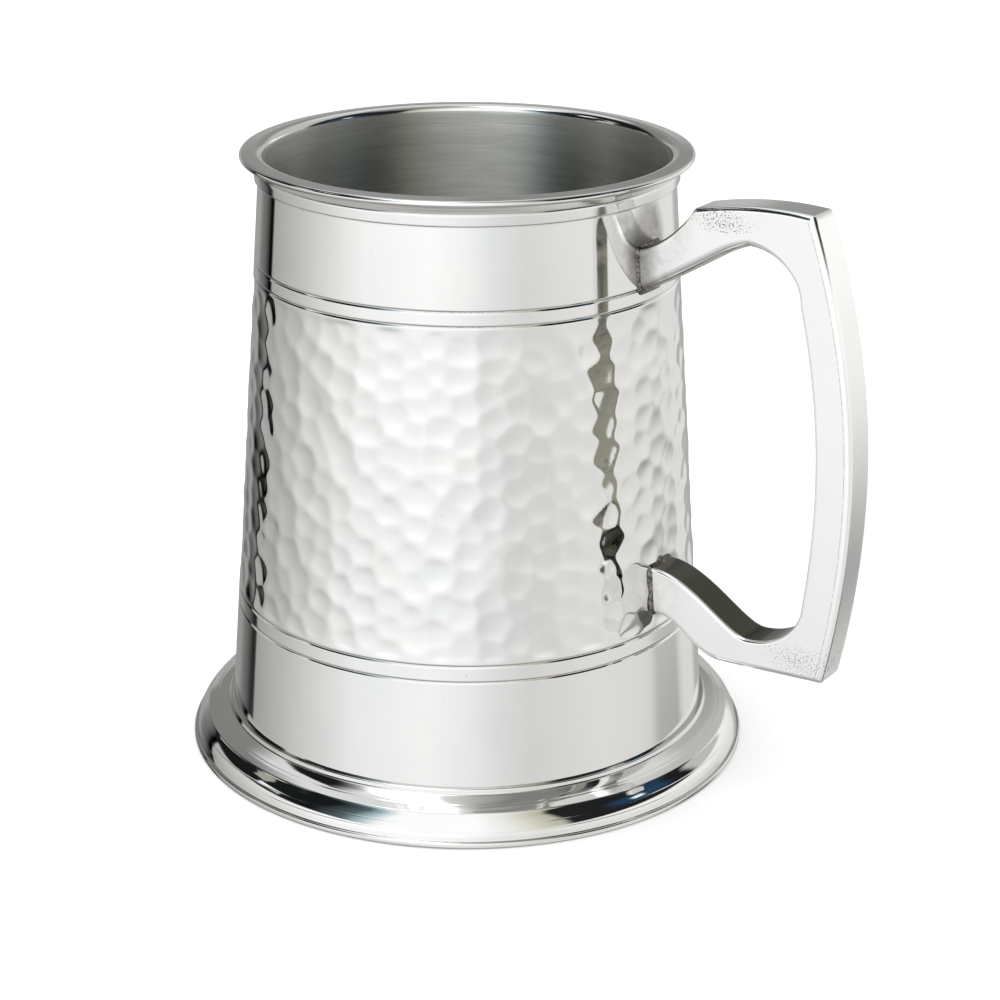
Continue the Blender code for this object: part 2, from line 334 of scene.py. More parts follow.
satin = {"ringsPerMm": 1.1, "stainScale": 0.07, "grainTurn": 0.25}
insideSatin = turnedSatin("insideSatin", satin | {
    "dark": (0.69, 0.70, 0.66), "light": (0.81, 0.815, 0.775), "stain": (0.62, 0.63, 0.57),
    "roughness": 0.44, "grain": 0.97, "depth": 0.03, "cutsPerMm": 3.0})
undersideSatin = turnedSatin("undersideSatin", satin | {
    "dark": (0.52, 0.52, 0.50), "light": (0.66, 0.65, 0.62), "stain": (0.40, 0.38, 0.34),
    "roughness": 0.3, "grain": 0.5, "depth": 0.06, "cutsPerMm": 2.0})


# Cast pewter, its base painted brighter than the drum's as painted light on the handle, with pits
# left from the mould and a painted reflection of the drum darkening the arms at the roots.
def castPewter(name, look):
    material, start = newMaterial(name)
    place, x, y, z, radius = turnedPlace(start)
    cloud = noiseOf(start, place, look["cloudScale"], 3, 0.55)
    fine = noiseOf(start, place, look["fineScale"], 5, 0.65)
    region = None
    for atRadius, atHeight, across, up in look["pitted"]:
        near = 1 - ((radius - atRadius) / across) ** 2 - ((z - atHeight) / up) ** 2
        region = near if region is None else region.atLeast(near)
    region = region.clamped()
    grain = noiseOf(start, place, look["pitScale"], 2, 0.6) + region * look["pitCrowding"]
    pits = grain.between(*look["pitEdge"]) * region.between(0.0, 0.3)
    pits = pits * (0.5 + z.between(*look["calmBelow"]) * 0.5)
    # a fine dark line just inside the grip's outer arris, where its rounding begins
    line = look["line"]
    upward = (z - line["belly"]).atLeast(0) / line["rise"]
    downward = (line["belly"] - z).atLeast(0) / line["fall"]
    edge = line["reach"] - upward ** 2 * line["topLean"] - downward ** 2 * line["footLean"]
    inset = edge - x
    arrisLine = (1 - abs(inset - line["inset"]) / line["halfWidth"]).atLeast(0)
    onSide = abs(y).between(line["half"] - 0.1, line["half"] - 0.02)
    arrisLine = arrisLine * fine.between(0.35, 0.55) * onSide
    # painted reflection: the arms darken towards the wall, standing for the drum reflected in their
    # sides, mottled by noise
    away = (radius - look["rootRadius"]) / look["rootReach"]
    reflectionMottle = noiseOf(start, place, look["smudgeScale"], 3, 0.5)
    faint = 0.22 + reflectionMottle.between(0.4, 0.65) * 0.3 + (fine - 0.5) * 0.3
    root = (1 - away.between(0.0, 1.0)) * faint
    root = root.atLeast((1 - away.between(0.0, 0.4)) * (0.5 + fine * 0.6))
    colour = cloud.between(0.3, 0.7).blend((*look["cool"], 1), (*look["warm"], 1))
    # painted reflection: the lower arm's faces fade to near black below these heights
    if "lowArm" in look:
        colour = z.between(*look["lowArmTop"]).blend((*look["lowArm"], 1), colour)
    # mould pits, the arris line and the painted reflection of the drum all blend to one dark colour
    pitsLineAndReflection = (pits * 0.85).atLeast(root * 0.85).atLeast(arrisLine * 0.7).clamped()
    colour = pitsLineAndReflection.blend(colour, (*look["oldPolish"], 1))
    roughness = look["roughness"] + (cloud - 0.5) * 0.05 + pitsLineAndReflection * 0.25
    height = fine * look["skin"] - pits
    return finishMaterial(material, start, colour, roughness, height, look["relief"])


castLook = {
    # painted light: the handle's base is brighter than the drum's pewter, standing for the extra
    # light on its sides
    "cool": (0.95, 0.95, 0.94), "warm": (0.97, 0.965, 0.95), "roughness": 0.13,
    "cloudScale": 0.12, "fineScale": 1.3, "smudgeScale": 0.35, "skin": 0.1, "relief": 0.05,
    "pitScale": 3.0, "pitCrowding": 0.13, "pitEdge": (0.68, 0.72), "calmBelow": (29.0, 60.0),
    # where the painted reflection of the drum on the arms starts, and how far out it fades
    "rootRadius": 41.5, "rootReach": 13.0,
    # where the casting is pitted: a radius, a height, and how far out and up
    "pitted": ((57.5, 114.0, 8.0, 2.8), (63.0, 105.0, 8.5, 1.7), (77.0, 34.0, 9.0, 4.0)),
    "line": {"belly": 66.0, "rise": 51.3, "fall": 35.6, "topLean": 10.0, "footLean": 3.9,
             "reach": overall["handleReach"], "half": overall["handleHalfWidth"],
             "inset": 1.3, "halfWidth": 0.09},
}
handlePewter = castPewter("handlePewter", bright | castLook)
# the grip's inside and the arms' facing sides never saw the buffing wheel, and their darker base is
# also painted shade between the handle and the drum
unbuffedAndShadedPewter = castPewter("unbuffedAndShadedPewter", bright | castLook | {
    "cool": (0.40, 0.40, 0.345), "warm": (0.46, 0.45, 0.385), "roughness": 0.1,
    # painted reflection: the lower arm's top is near black below these heights
    "lowArm": (0.075, 0.08, 0.06), "lowArmTop": (43.0, 52.0)})

solderLook = {"dark": (0.07, 0.06, 0.045), "light": (0.38, 0.36, 0.32), "roughness": 0.14,
              "lumpScale": 0.35, "grimeScale": 1.4, "relief": 0.1}


# Soft solder: duller and darker than the pewter it joins.
def solder(name, look):
    material, start = newMaterial(name)
    place = turnedPlace(start)[0]
    lumps = noiseOf(start, place, look["lumpScale"], 3, 0.5)
    grime = noiseOf(start, place, look["grimeScale"], 4, 0.6)
    colour = grime.between(0.35, 0.75).blend((*look["dark"], 1), (*look["light"], 1))
    roughness = look["roughness"] + lumps * 0.15
    return finishMaterial(material, start, colour, roughness, lumps, look["relief"])


rootSolder = solder("rootSolder", solderLook)
seamSolder = solder("seamSolder", solderLook)
print("materials made")


# The drum tapers straight up, with a pair of turned lines above its hammered band and another below.
drum = {
    "steps": 480, "rows": 118, "segments": 2,
    "rimRadius": 39.7, "shoulder": 113.8, "base": 4.2, "baseRounding": 0.15,
    "wall": 1.3, "satinDepth": 0.8,  # what lies deeper in the wall than this share is the bore
    "lines": (98.75, 96.05, 32.35, 29.25), "lineWidth": 0.66, "lineDepth": 0.2,
    "lineShoulder": 0.08, "lineBottom": 0.1,
    "lapTop": 115.68, "lapRadius": 39.05, "lapSeat": 114.0, "lapRounding": 0.1,
    "bandTop": 95.5, "bandBottom": 33.0,
}
hammer = {
    "columns": 58, "pitch": 5.45, "columnSpacing": 4.7, "wander": 0.9, "fromEdge": 2.1,
    "cupRadius": 3.2, "spread": 0.5, "faceRadius": 19.0, "force": (0.8, 1.25), "reach": 1.6,
    "tilt": 0.05, "ridge": 0.09, "edgeFade": 0.8, "smoothing": 0.5, "seed": 11,
}


def wallRadius(height):
    share = (height - drum["base"]) / (drum["shoulder"] - drum["base"])
    return overall["baseRadius"] + (drum["rimRadius"] - overall["baseRadius"]) * share


def drumOutline():
    bore = drum["rimRadius"] - drum["wall"]
    outline = [(bore, drum["shoulder"], 0), (bore, drum["lapTop"], 0),
               (drum["lapRadius"], drum["lapTop"], 0), (drum["lapRadius"], drum["lapSeat"], 0),
               (drum["rimRadius"], drum["lapSeat"], drum["lapRounding"])]
    half = drum["lineWidth"] / 2
    for i, height in enumerate(drum["lines"]):
        outline += [(wallRadius(height + half), height + half, drum["lineShoulder"]),
                    (wallRadius(height) - drum["lineDepth"], height, drum["lineBottom"]),
                    (wallRadius(height - half), height - half, drum["lineShoulder"])]
        if i == 1:
            outline += [(wallRadius(drum["bandTop"]), drum["bandTop"], 0),
                        (wallRadius(drum["bandBottom"]), drum["bandBottom"], 0)]
    base, rounding = drum["base"], drum["baseRounding"]
    outline += [(wallRadius(base), base, rounding),
                (wallRadius(base) - drum["wall"], base, rounding)]
    return outline


# Where each hammer blow fell: staggered columns, none quite true.
def hammerBlows():
    random.seed(hammer["seed"])
    blows = {}
    lowest, highest = drum["bandBottom"] + hammer["fromEdge"], drum["bandTop"] - hammer["fromEdge"]
    rows = int((drum["bandTop"] - drum["bandBottom"]) / hammer["pitch"])
    spare = (drum["bandTop"] - drum["bandBottom"] - rows * hammer["pitch"]) / 2
    for column in range(hammer["columns"]):
        stagger = (column % 2) / 2
        for row in range(rows + 1 - column % 2):
            height = drum["bandBottom"] + spare + (row + stagger) * hammer["pitch"]
            height += random.uniform(-1, 1) * hammer["wander"]
            aside = random.uniform(-1, 1) * hammer["wander"] / hammer["columnSpacing"]
            turn = (column + aside) / hammer["columns"]
            size = hammer["cupRadius"] + random.uniform(-1, 1) * hammer["spread"]
            blows[column, row] = {
                "turn": turn * 2 * pi, "height": min(max(height, lowest), highest),
                "depth": size * size / 2 / hammer["faceRadius"] * random.uniform(*hammer["force"]),
                "size": size,
                "leanAcross": random.uniform(-1, 1) * hammer["tilt"],
                "leanUp": random.uniform(-1, 1) * hammer["tilt"],
            }
    return blows


# How far the deepest blow near a spot pushed it in, with the ridge between two blows softened.
def dentAt(blows, turn, height, radius):
    column = round(turn / 2 / pi * hammer["columns"])
    deepest = [0.0, 0.0]
    for c in range(column - 1, column + 2):
        row = round((height - drum["bandBottom"]) / hammer["pitch"])
        for r in range(row - 2, row + 3):
            blow = blows.get((c % hammer["columns"], r))
            if not blow:
                continue
            across = (turn - blow["turn"] + pi) % (2 * pi) - pi
            across *= radius
            up = height - blow["height"]
            reach = (across * across + up * up) / blow["size"] ** 2
            if reach < hammer["reach"]:
                dent = blow["depth"] * (1 - reach)
                dent += blow["leanAcross"] * across + blow["leanUp"] * up
                deepest.append(dent)
    deepest.sort(reverse=True)
    first, second = deepest[0], deepest[1]
    soft = max(hammer["ridge"] - (first - second), 0)
    return first + soft * soft / 4 / hammer["ridge"]


def makeDrum():
    outline = drumOutline()
    bandSide = next(i for i, corner in enumerate(outline) if corner[1] == drum["bandBottom"])
    bm = spinOutline(outline, drum["steps"], drum["segments"],
                     {"side": bandSide, "cuts": drum["rows"]})
    blows = hammerBlows()
    struck = []
    for vert in bm.verts:
        height = vert.co.z
        radius = hypot(vert.co.x, vert.co.y)
        onOutside = radius > wallRadius(height) - drum["wall"] / 2
        if onOutside and drum["bandBottom"] < height < drum["bandTop"]:
            turn = atan2(vert.co.y, vert.co.x)
            margin = min(height - drum["bandBottom"], drum["bandTop"] - height)
            dent = dentAt(blows, turn, height, radius) * min(margin / hammer["edgeFade"], 1)
            vert.co.xy *= (radius - dent) / radius
            struck.append(vert)
    bmesh.ops.smooth_vert(bm, verts=struck, factor=hammer["smoothing"], use_axis_x=True,
                          use_axis_y=True, use_axis_z=False)
    for face in bm.faces:
        middle = face.calc_center_median()
        if hypot(middle.x, middle.y) < wallRadius(middle.z) - drum["wall"] * drum["satinDepth"]:
            face.material_index = 1
    finishPiece(bm, "hammered_drum", "drum", [drumPewter, insideSatin])


makeDrum()


# The mouth ring laps over the drum's top edge and flares out to a beaded lip.
mouth = {
    "steps": 360, "segments": 6, "bore": 38.4, "lap": 39.1, "bottom": 114.1,
    "innerRoll": 2.0, "crest": 0.142, "slope": 0.22, "lipRounding": 0.62,
    "beadFoot": 118.35, "beadRounding": 0.4,
    "throat": 40.9, "throatHeight": 117.0, "throatRounding": 0.9,
    "band": 40.35, "bandTop": 116.15, "stepBack": 0.12, "stepUp": 0.25, "stepRounding": 0.15,
    "bandRounding": 0.22, "bottomRounding": 0.25, "onLap": 0.02, "satinBelow": 1.2,
}


def makeMouth():
    rim, reach = overall["rimHeight"], overall["mouthRadius"]
    lapTop = drum["lapTop"] + mouth["onLap"]
    outline = [
        (mouth["bore"], rim + mouth["crest"], mouth["innerRoll"]),
        (reach, rim - mouth["slope"], mouth["lipRounding"]),
        (reach, mouth["beadFoot"], mouth["beadRounding"]),
        (mouth["throat"], mouth["throatHeight"], mouth["throatRounding"]),
        (mouth["band"] - mouth["stepBack"], mouth["bandTop"] + mouth["stepUp"],
         mouth["stepRounding"]),
        (mouth["band"], mouth["bandTop"] - 0.1, mouth["bandRounding"]),
        (mouth["band"], mouth["bottom"], mouth["bottomRounding"]),
        (mouth["lap"], mouth["bottom"], 0), (mouth["lap"], lapTop, 0), (mouth["bore"], lapTop, 0)]
    bm = spinOutline(outline, mouth["steps"], mouth["segments"])
    for face in bm.faces:
        middle = face.calc_center_median()
        inBore = hypot(middle.x, middle.y) < mouth["bore"] + 0.1
        if inBore and middle.z < rim - mouth["satinBelow"]:
            face.material_index = 1
    finishPiece(bm, "mouth_moulding", "mouth_ring", [mouthPewter, insideSatin])


makeMouth()


# The foot: a collar round the wall, a sloping flange, a wide bead and a square lip, hollow below.
foot = {
    "steps": 360, "segments": 6, "top": 8.45, "intoWall": 0.15,
    "collar": 48.3, "collarTopRounding": 0.3, "collarBottom": 7.6, "collarSlope": 0.05,
    "collarRounding": 0.15, "collarFoot": 48.55, "collarDrop": 0.2, "collarFootRounding": 0.1,
    "shoulder": (50.75, 6.75, 0.9), "crease": (52.75, 5.85, 0.12), "beadStart": (52.88, 5.62, 0.1),
    # how far the bead's side runs at each slope, from its top round to its foot
    "beadRuns": ((43, 1.3), (33, 1.4), (20, 1.3), (10, 1.05)), "beadRounding": 0.6,
    "lipTop": 1.2, "lipCrease": 0.06, "lipRounding": 0.4, "underRounding": 0.35,
    "rim": 2.7, "rimRounding": 0.3, "hollowTop": 2.1, "hollow": (52.0, 50.0), "hollowRounding": 1.0,
    "seat": 47.9, "seatBottom": 1.4, "seatRounding": 0.3, "seatHeight": 3.9, "seatGap": 0.02,
}


def makeFoot():
    lip = overall["footRadius"]
    outline = [
        (wallRadius(foot["top"]) - foot["intoWall"], foot["top"], 0),
        (foot["collar"], foot["top"], foot["collarTopRounding"]),
        (foot["collar"] + foot["collarSlope"], foot["collarBottom"], foot["collarRounding"]),
        (foot["collarFoot"], foot["collarBottom"] - foot["collarDrop"], foot["collarFootRounding"]),
        foot["shoulder"], foot["crease"], foot["beadStart"]]
    radius, height = foot["beadStart"][:2]
    for slope, run in foot["beadRuns"]:
        radius, height = radius + run * sin(radians(slope)), height - run * cos(radians(slope))
        outline.append((radius, height, foot["beadRounding"]))
    outline[-1] = (radius, foot["lipTop"], foot["lipCrease"])
    outline += [
        (lip, foot["lipTop"], foot["lipRounding"]), (lip, 0, foot["underRounding"]),
        (lip - foot["rim"], 0, foot["rimRounding"])]
    outline += [(hollow, foot["hollowTop"], foot["hollowRounding"]) for hollow in foot["hollow"]]
    outline += [(foot["seat"], foot["seatBottom"], foot["seatRounding"]),
                (wallRadius(foot["seatHeight"]) + foot["seatGap"], foot["seatHeight"], 0)]
    bm = spinOutline(outline, foot["steps"], foot["segments"])
    finishPiece(bm, "beaded_foot", "foot_ring", [footPewter])


makeFoot()


# The floor is let into the drum, with a few rings left underneath by the lathe.
floorDisc = {"steps": 240, "bottom": 6.0, "top": 7.4, "gap": 0.02, "edgeRounding": 0.2,
             "centreMark": 8.0, "markWidth": 0.4, "markDepth": 0.05, "markRounding": 0.3,
             "dishFromEdge": 1.2, "dishRounding": 0.5,
             "rings": (36.0, 20.0, 6.0), "ringHalfWidth": 0.4, "ringDepth": 0.12,
             "ringRounding": 0.1}


def makeFloor():
    top, bottom, mark = floorDisc["top"], floorDisc["bottom"], floorDisc["centreMark"]
    half, depth, rounding = (floorDisc[key] for key in ("ringHalfWidth", "ringDepth", "ringRounding"))
    inside = wallRadius(bottom) - drum["wall"] - floorDisc["gap"]
    outline = [
        (0, top, 0), (mark, top, floorDisc["markRounding"]),
        (mark + floorDisc["markWidth"], top - floorDisc["markDepth"], floorDisc["markRounding"]),
        (inside - floorDisc["dishFromEdge"], top, floorDisc["dishRounding"]),
        (wallRadius(top) - drum["wall"] - floorDisc["gap"], top, 0),
        (inside, bottom, floorDisc["edgeRounding"])]
    for radius in floorDisc["rings"]:
        outline += [(radius + half, bottom, rounding), (radius, bottom + depth, rounding),
                    (radius - half, bottom, rounding)]
    outline.append((0, bottom, 0))
    bm = spinOutline(outline, floorDisc["steps"])
    for face in bm.faces:
        if face.calc_center_median().z > (top + bottom) / 2:
            face.material_index = 1
    finishPiece(bm, "let_in_floor", "base_disc", [undersideSatin, insideSatin])


makeFloor()


# The handle: two swept arms, and a grip that leans in above and below its belly.
handle = {
    "bellyHeight": 66.0, "topLean": 10.0, "footLean": 3.9, "thickness": 7.1,
    "topDrop": 2.2, "crown": 0.95, "footHeight": 30.4, "footSag": 0.8,
    "topBar": 8.2, "footBar": 5.1, "arch": (10.5, 9.0), "trough": (11.1, 9.2),
    "shoulderOut": 12.0, "shoulderDrop": 1.8,
    "upperRootDrop": 13.0, "upperRootHeight": 8.3, "lowerRootBottom": 35.9, "lowerRootHeight": 9.2,
    "heelOut": 15.2, "intoWall": 0.7,
    "upperTopSweep": ((3.6, 0.8), (-3.1, -4.9)), "upperUnderSweep": ((8.7, 4.1), (-4.6, -1.2)),
    "lowerTopSweep": ((8.5, 0.0), (-4.5, 0.3)), "lowerUnderSweep": ((6.2, 0.5), (-7.5, -0.2)),
    # how round each run's arris is; under the upper arm it widens towards the wall
    "arrises": {"inner": 0.6, "lower": 1.1, "outer": 1.0, "upper": 0.9, "buried": 0.0},
    "underArm": {"arris": 1.9, "from": 70, "over": 12},
    "arrisSteps": 5, "flatHold": 0.15, "sharpTurn": 0.15, "mitre": 0.3, "mitreSteps": 3,
    "sweepSteps": 24, "shoulderSteps": 16, "gripSteps": 30, "heelSteps": 8, "outerSteps": 48,
    "crownSteps": 16,
}
crownRun = range(2, handle["crownSteps"] - 1)  # the top bar's points, short of its two corners


def gripRadius(height):
    if height > handle["bellyHeight"]:
        rise = overall["rimHeight"] - handle["topDrop"] - handle["bellyHeight"]
        lean = handle["topLean"]
    else:
        rise = handle["bellyHeight"] - handle["footHeight"]
        lean = handle["footLean"]
    return overall["handleReach"] - lean * ((height - handle["bellyHeight"]) / rise) ** 2


# The handle's edge seen from the side, in named runs so that each gets its own arris.
def handleRuns():
    rim = overall["rimHeight"]
    top = rim - handle["topDrop"]
    upperTop = rim - handle["upperRootDrop"]
    upperBottom = upperTop - handle["upperRootHeight"]
    lowerBottom = handle["lowerRootBottom"]
    lowerTop = lowerBottom + handle["lowerRootHeight"]

    def inside(height):
        return gripRadius(height) - handle["thickness"]

    def buried(height):
        return (wallRadius(height) - handle["intoWall"], height)

    archEnd = top + handle["crown"] - handle["topBar"] - handle["arch"][1]
    troughEnd = handle["footHeight"] + handle["footBar"] + handle["trough"][1]
    arch = (inside(archEnd) - handle["arch"][0], archEnd)
    trough = (inside(troughEnd) - handle["trough"][0], troughEnd)
    steps = handle["sweepSteps"]
    inner = [buried(upperBottom)]
    inner += sweep((wallRadius(upperBottom), upperBottom), (arch[0], archEnd + handle["arch"][1]),
                   handle["upperUnderSweep"], steps)
    inner += arc(arch, handle["arch"], 1, 0, steps)[1:]
    for i in range(1, handle["gripSteps"]):
        height = archEnd + (troughEnd - archEnd) * i / handle["gripSteps"]
        inner.append((inside(height), height))
    inner += arc(trough, handle["trough"], 0, -1, steps)
    inner += sweep((wallRadius(lowerTop), lowerTop), (trough[0], troughEnd - handle["trough"][1]),
                   handle["lowerTopSweep"], steps)[-2::-1]
    inner.append(buried(lowerTop))
    heel = (wallRadius(lowerBottom) + handle["heelOut"], handle["footHeight"] - handle["footSag"])
    lower = [buried(lowerBottom)]
    lower += sweep((wallRadius(lowerBottom), lowerBottom), heel, handle["lowerUnderSweep"], steps)
    corner = (gripRadius(handle["footHeight"]), handle["footHeight"])
    for i in range(1, handle["heelSteps"]):
        lower.append(tuple(Vector(heel).lerp(Vector(corner), i / handle["heelSteps"])))
    outer = []
    for i in range(handle["outerSteps"] + 1):
        height = handle["footHeight"] + (top - handle["footHeight"]) * i / handle["outerSteps"]
        outer.append((gripRadius(height), height))
    shoulder = (wallRadius(top) + handle["shoulderOut"], top - handle["shoulderDrop"])
    topCorner = outer[-1]
    upper = []
    for i in crownRun:
        t = i / handle["crownSteps"]
        point = Vector(topCorner).lerp(Vector(shoulder), t)
        upper.append((point.x, point.y + handle["crown"] * 4 * t * (1 - t)))
    upper += sweep((wallRadius(upperTop), upperTop), shoulder, handle["upperTopSweep"],
                   handle["shoulderSteps"])[::-1]
    upper.append(buried(upperTop))
    return {"inner": inner, "lower": lower, "outer": outer, "upper": upper}


# A corner of the outline moved into the metal, off the edge before it and the edge after it.
def insetCorner(before, here, after, offBefore, offAfter):
    along = [(here - before).normalized(), (after - here).normalized()]
    inward = [Vector((-way.y, way.x)) for way in along]
    turn = inward[0].cross(inward[1])
    if abs(turn) < handle["sharpTurn"]:
        return here + (inward[0] + inward[1]) * (offBefore + offAfter) / 4
    return here + Vector((offBefore * inward[1].y - offAfter * inward[0].y,
                          offAfter * inward[0].x - offBefore * inward[1].x)) / turn


# How round the arris is along the edge that follows each corner.
def arrisWidths(corners, kinds):
    under = handle["underArm"]
    widths = []
    for corner, kind in zip(corners, kinds):
        width = handle["arrises"][kind]
        if kind == "inner" and corner.y > handle["bellyHeight"]:
            share = min(max((under["from"] - corner.x) / under["over"], 0), 1)
            width += (under["arris"] - width) * share
        widths.append(width)
    return widths


# The outline is inset and sunk in steps at each side, and the rings are bridged across.
def makeHandle():
    runs = handleRuns()
    half = overall["handleHalfWidth"]
    hold, steps = handle["flatHold"], handle["arrisSteps"]
    corners, kinds = [], []
    for name in ("inner", "lower", "outer", "upper"):
        corners += [Vector(point) for point in runs[name]]
        kinds += [name] * len(runs[name])
    # the edge after each corner belongs to its run, apart from the two ends inside the wall
    lastInner = len(runs["inner"]) - 1
    kinds[lastInner] = kinds[-1] = "buried"
    widths = arrisWidths(corners, kinds)
    # each level: how much of the arris it is inset and sunk by, each with a little more
    levels = [(1, hold, 0, 0)]
    for i in range(steps + 1):
        angle = i / steps * pi / 2
        levels.append((1 - sin(angle), 0, 1 - cos(angle), 0))
    levels.append((0, 0, 1, hold))
    levels = [(*level, -1) for level in levels] + [(*level, 1) for level in levels[::-1]]
    bm = bmesh.new()
    rings, placeOf = [], {}
    for level, (inset, insetMore, deep, deepMore, side) in enumerate(levels):
        ring = []
        for i, corner in enumerate(corners):
            offs = [widths[j] * inset + insetMore * (widths[j] > 0) for j in (i - 1, i)]
            at = insetCorner(corners[i - 1], corner, corners[(i + 1) % len(corners)], *offs)
            down = (widths[i - 1] + widths[i]) / 2 * deep + deepMore
            vert = bm.verts.new((at.x, side * (half - down), at.y))
            placeOf[vert] = (level, kinds[i])
            ring.append(vert)
        rings.append(ring)
    loops = [[bm.edges.new((ring[i - 1], ring[i])) for i in range(len(ring))] for ring in rings]
    for near, far in zip(loops, loops[1:]):
        bmesh.ops.bridge_loops(bm, edges=near + far)
    bm.faces.new(rings[0])
    bm.faces.new(rings[-1])
    bmesh.ops.recalc_face_normals(bm, faces=bm.faces)
    for face in bm.faces:
        spots = [placeOf[vert] for vert in face.verts]
        facing = all(kind in ("inner", "buried") for level, kind in spots)
        if facing and all(steps < level < len(levels) - 1 - steps for level, kind in spots):
            face.material_index = 1
    # the outer corners are eased a little from side to side
    firstOuter = lastInner + len(runs["lower"]) + 1
    lastOuter = firstOuter + len(runs["outer"]) - 1
    crisp = (firstOuter, lastOuter, lastOuter + len(crownRun) + 1)
    eased = [bm.edges.get((near[i], far[i])) for i in crisp for near, far in zip(rings, rings[1:])]
    bmesh.ops.bevel(bm, geom=[edge for edge in eased if edge], offset=handle["mitre"],
                    segments=handle["mitreSteps"], profile=0.5, affect="EDGES", material=-1)
    bmesh.ops.recalc_face_normals(bm, faces=bm.faces)
    finishPiece(bm, "cast_handle", "handle", [handlePewter, unbuffedAndShadedPewter])


makeHandle()


# The solder round the handle's two roots.
rootFillet = {"size": 0.5, "steps": 12, "arris": 0.9, "under": 0.25, "longRun": 1.5, "longCuts": 6,
              # its section: how far off the wall and clear of the arm, as shares of its size
              "section": ((0.0, 1.0), (0.3, 0.32)), "toe": 0.9, "tip": 0.02}


# How steeply an arm's edge leaves the wall.
def slopeOf(pulls):
    return pulls[0][1] / pulls[0][0]


# One ring of points round an arm's root: grown outward from the arm, and off the wall.
def rootRing(bm, bottom, top, outward, clear, slopes):
    reach = rootFillet["arris"] + clear
    halfAcross = overall["handleHalfWidth"] - rootFillet["arris"]
    halfUp = (top - bottom) / 2 - rootFillet["arris"]
    middle = (top + bottom) / 2
    points = []
    steps = rootFillet["steps"]
    for corner, (across, up) in enumerate(((1, 1), (-1, 1), (-1, -1), (1, -1))):
        for i in range(steps // 2 + 1):
            angle = (corner + i / (steps // 2)) * pi / 2
            points.append((across * halfAcross + reach * cos(angle),
                           middle + up * halfUp + reach * sin(angle)))
    ring = []
    for i, (y, z) in enumerate(points):
        nextY, nextZ = points[(i + 1) % len(points)]
        long = hypot(nextY - y, nextZ - z) > rootFillet["longRun"]
        cuts = rootFillet["longCuts"] if long else 1
        for j in range(cuts):
            across, height = y + (nextY - y) * j / cuts, z + (nextZ - z) * j / cuts
            share = min(max((height - bottom) / (top - bottom), 0), 1)
            rise = (slopes[0] * (1 - share) + slopes[1] * share) * outward
            x = sqrt(wallRadius(height) ** 2 - across * across) + outward
            ring.append(bm.verts.new((x, across, height + rise)))
    return [bm.edges.new((ring[i - 1], ring[i])) for i in range(len(ring))]


def makeRootSolder(name, node, bottom, top, slopes):
    bm = bmesh.new()
    size, under = rootFillet["size"], rootFillet["under"]
    section = [(-under, -under), (-under, size * rootFillet["toe"])]
    section += [(size * off, size * clear) for off, clear in rootFillet["section"]]
    section += [(size, rootFillet["tip"]), (size, -under)]
    loops = [rootRing(bm, bottom, top, off, clear, slopes) for off, clear in section]
    for i in range(len(loops)):
        bmesh.ops.bridge_loops(bm, edges=loops[i - 1] + loops[i])
    bmesh.ops.recalc_face_normals(bm, faces=bm.faces)
    finishPiece(bm, name, node, [rootSolder])


upperTop = overall["rimHeight"] - handle["upperRootDrop"]
makeRootSolder("upper_root_solder", "upper_handle_solder", upperTop - handle["upperRootHeight"],
               upperTop, (slopeOf(handle["upperUnderSweep"]), slopeOf(handle["upperTopSweep"])))
lowerBottom = handle["lowerRootBottom"]
makeRootSolder("lower_root_solder", "lower_handle_solder", lowerBottom,
               lowerBottom + handle["lowerRootHeight"],
               (slopeOf(handle["lowerUnderSweep"]), slopeOf(handle["lowerTopSweep"])))


# The solder underneath, round the floor's edge and round the drum's lower edge.
seams = {"steps": 240, "segments": 5, "size": 1.3, "tuck": 0.02, "lump": 0.07,
         "waves": 9, "waveCounts": (5, 40), "waveSizes": (0.3, 1), "calm": 4,
         "floorSeed": 3, "footSeed": 4,
         "overFloor": 0.02, "outOnWall": 0.12, "footOut": 0.3, "footDeep": 1.25,
         "footOuterSide": 0.7, "footInnerSide": 0.6}


# Sinks a bead's underside by a few waves laid over each other, as a hand-run seam is.
def lumpy(bm, amount, seed):
    random.seed(seed)
    waves = []
    for i in range(seams["waves"]):
        waves.append((random.randint(*seams["waveCounts"]), random.uniform(0, 2 * pi),
                      random.uniform(*seams["waveSizes"])))
    for vert in bm.verts:
        turn = atan2(vert.co.y, vert.co.x)
        wave = sum(size * sin(count * turn + phase) for count, phase, size in waves)
        wave /= seams["calm"]
        vert.co.z -= amount * (1 + wave) * (1 if vert.normal.z < -0.1 else 0)


def makeSeams():
    top = floorDisc["bottom"] + seams["tuck"]
    size = seams["size"]
    edge = wallRadius(top) - drum["wall"]
    onWall = seams["outOnWall"]
    outline = [(edge - size, top, 0), (edge + seams["overFloor"], top, 0),
               (edge + onWall, top - size, 0.1), (edge - onWall, top - size * 0.95, 0.1),
               (edge - size * 0.55, top - size * 0.35, 0.4), (edge - size, top - 0.1, 0.05)]
    bm = spinOutline(outline, seams["steps"], seams["segments"])
    bm.normal_update()
    lumpy(bm, seams["lump"], seams["floorSeed"])
    finishPiece(bm, "floor_seam_solder", "base_seam_solder", [seamSolder])
    top = drum["base"] + seams["tuck"]
    outside, inside = wallRadius(top) + seams["footOut"], wallRadius(top) - drum["wall"]
    outline = [(inside, top, 0), (outside, top, 0), (outside, top - seams["footOuterSide"], 0.3),
               ((inside + outside) / 2, top - seams["footDeep"], 0.6),
               (inside, top - seams["footInnerSide"], 0.3)]
    bm = spinOutline(outline, seams["steps"], seams["segments"])
    bm.normal_update()
    lumpy(bm, seams["lump"], seams["footSeed"])
    finishPiece(bm, "foot_seam_bead", "foot_seam_solder", [seamSolder])


makeSeams()


